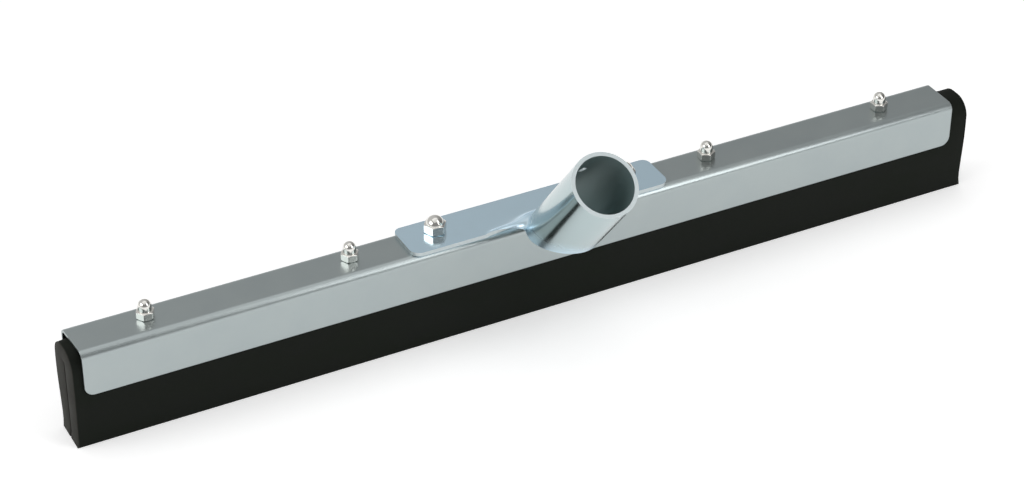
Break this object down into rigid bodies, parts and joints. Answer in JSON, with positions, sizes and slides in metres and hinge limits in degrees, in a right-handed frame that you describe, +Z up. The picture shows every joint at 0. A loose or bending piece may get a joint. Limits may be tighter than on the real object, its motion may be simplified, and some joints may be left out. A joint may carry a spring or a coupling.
{
  "type": "floor squeegee",
  "caption": "Floor squeegee head: a long steel channel clamps a folded rubber blade, and a slanted round socket on top takes the handle.",
  "frame": {"origin": "on the floor, under the middle of the part's length and depth; the blade stands on its two lips", "axes": "+X along the blade, +Y to the rear, away from the handle socket's mouth, +Z up"},
  "size_m": [0.497, 0.096, 0.1197],
  "materials": {
    "channel_zinc": "zinc-plated, satin grey",
    "bracket_zinc": "bright zinc-plated, faintly blue",
    "nut_nickel": "nickel-plated, polished",
    "inner_steel": "zinc-plated, dull",
    "blade_rubber": "matt black"
  },
  "bodies": {
    "root": {"channel": "channel_zinc", "rubber_blade": "blade_rubber", "clamp_bar": "inner_steel", "socket_bracket": "bracket_zinc", "clamp_bolt_1": "inner_steel", "clamp_bolt_2": "inner_steel", "clamp_bolt_3": "inner_steel", "clamp_bolt_4": "inner_steel", "clamp_nut_1": "nut_nickel", "clamp_nut_2": "nut_nickel", "clamp_nut_3": "nut_nickel", "clamp_nut_4": "nut_nickel", "bracket_bolt_left": "inner_steel", "bracket_bolt_right": "inner_steel", "bracket_nut_left": "nut_nickel", "bracket_nut_right": "nut_nickel"}
  },
  "joints": []
}
